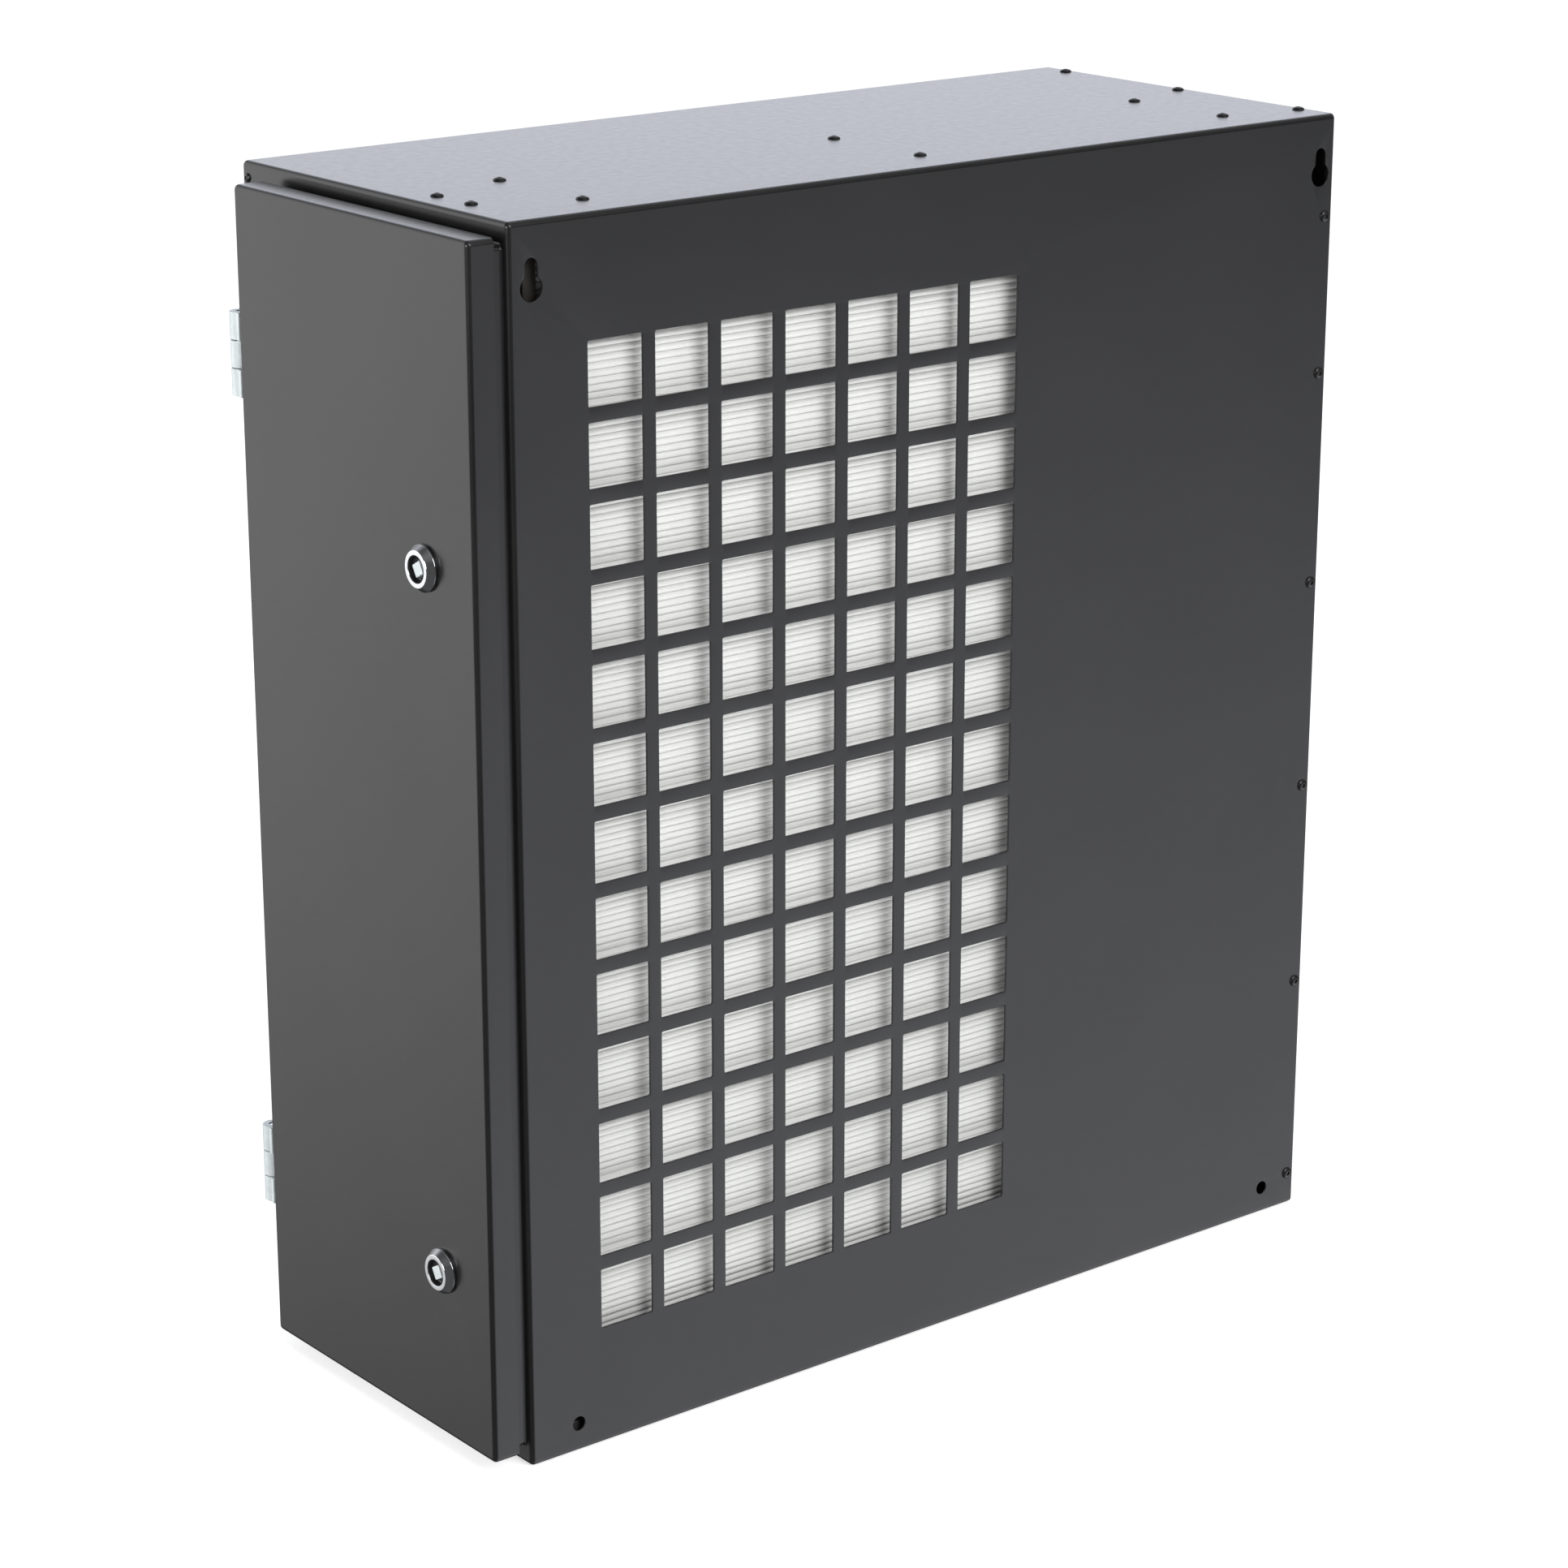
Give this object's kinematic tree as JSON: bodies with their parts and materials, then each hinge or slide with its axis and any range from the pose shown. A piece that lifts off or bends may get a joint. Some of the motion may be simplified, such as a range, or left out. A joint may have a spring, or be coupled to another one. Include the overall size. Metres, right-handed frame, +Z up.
{
  "type": "solder fume extractor",
  "caption": "Black sheet-steel fume extraction cabinet with a square-hole exhaust grille over a white pleated filter and a locked, hinged filter door on one end.",
  "frame": {"origin": "middle of the underside of the bounding box", "axes": "+X along the width away from the door end, +Y from the grille face to the back, +Z up"},
  "size_m": [0.722, 0.2768, 0.7519],
  "materials": {
    "powder_coat": "black semi-gloss powder coat with a fine texture",
    "galvanised_sheet": "dull spangled zinc",
    "zinc_casting": "light matt zinc casting",
    "chrome": "polished",
    "dark_steel": "dark satin",
    "filter_paper": "white matt folded filter paper",
    "filter_frame": "satin",
    "carbon": "loose black granules, as light as charcoal",
    "fleece": "matt polyester fleece",
    "foam": "matt closed-cell foam",
    "plastic": "fine satin"
  },
  "bodies": {
    "cabinet": {"grille_panel": "powder_coat", "top_panel": "powder_coat", "bottom_panel": "powder_coat", "back_panel": "powder_coat", "end_panel": "powder_coat", "door_frame": "powder_coat", "door_frame_bracket": "powder_coat", "upper_front_rail": "powder_coat", "upper_rear_rail": "powder_coat", "end_rivet_front_1": "powder_coat", "end_rivet_front_2": "powder_coat", "end_rivet_front_3": "powder_coat", "end_rivet_front_4": "powder_coat", "end_rivet_front_5": "powder_coat", "end_rivet_front_6": "powder_coat", "end_rivet_top_1": "powder_coat", "end_rivet_top_2": "powder_coat", "end_rivet_top_3": "powder_coat", "filter_tray": "galvanised_sheet", "carbon_cassette": "galvanised_sheet", "bay_divider": "galvanised_sheet", "partition_plate": "galvanised_sheet", "fan_bulkhead": "galvanised_sheet", "inlet_ring": "galvanised_sheet", "motor_bracket": "galvanised_sheet", "upper_inlet_spigot": "galvanised_sheet", "lower_inlet_spigot": "galvanised_sheet", "upper_spigot_flange": "galvanised_sheet", "lower_spigot_flange": "galvanised_sheet", "grille_seal": "foam", "particle_filter_frame": "filter_frame", "particle_filter_media": "filter_paper", "carbon_bed": "carbon", "prefilter_pad": "fleece", "fan_motor": "dark_steel", "fan_speed_controller": "dark_steel", "mains_inlet": "plastic", "rocker_housing": "plastic", "speed_potentiometer": "zinc_casting", "upper_hinge_cabinet_leaf": "zinc_casting", "lower_hinge_cabinet_leaf": "zinc_casting"},
    "door": {"door_shell": "powder_coat", "door_gasket": "foam", "upper_hinge_door_leaf": "zinc_casting", "upper_hinge_pin": "chrome", "upper_lock_housing": "chrome", "upper_lock_nut": "zinc_casting", "lower_hinge_door_leaf": "zinc_casting", "lower_hinge_pin": "chrome", "lower_lock_housing": "chrome", "lower_lock_nut": "zinc_casting"},
    "upper_lock": {"upper_lock_barrel": "zinc_casting", "upper_lock_cam": "zinc_casting"},
    "lower_lock": {"lower_lock_barrel": "zinc_casting", "lower_lock_cam": "zinc_casting"},
    "fan_rotor": {"impeller": "plastic", "fan_shaft": "chrome"},
    "rocker": {"power_rocker": "plastic"},
    "knob": {"speed_knob": "plastic"}
  },
  "joints": [
    {"name": "door_hinge", "type": "hinge", "parent": "cabinet", "child": "door", "pos_m": [-0.3485, 0.11445, 0.3805], "axis": [0, 0, -1], "range_deg": [0, 180]},
    {"name": "upper_lock_turn", "type": "hinge", "parent": "door", "child": "upper_lock", "pos_m": [-0.339, -0.08555, 0.55], "axis": [-1, 0, 0], "range_deg": [0, 90]},
    {"name": "lower_lock_turn", "type": "hinge", "parent": "door", "child": "lower_lock", "pos_m": [-0.339, -0.08555, 0.118], "axis": [-1, 0, 0], "range_deg": [0, 90]},
    {"name": "fan_spin", "type": "hinge", "parent": "cabinet", "child": "fan_rotor", "pos_m": [0.051, 0.06145, 0.4], "axis": [1, 0, 0], "continuous": true},
    {"name": "power_rocker_tilt", "type": "hinge", "parent": "cabinet", "child": "rocker", "pos_m": [0.3078, -0.07455, 0.118], "axis": [0, 1, 0], "range_deg": [0, 20]},
    {"name": "speed_knob_turn", "type": "hinge", "parent": "cabinet", "child": "knob", "pos_m": [0.316, -0.07455, 0.172], "axis": [-1, 0, 0], "range_deg": [0, 270]}
  ]
}
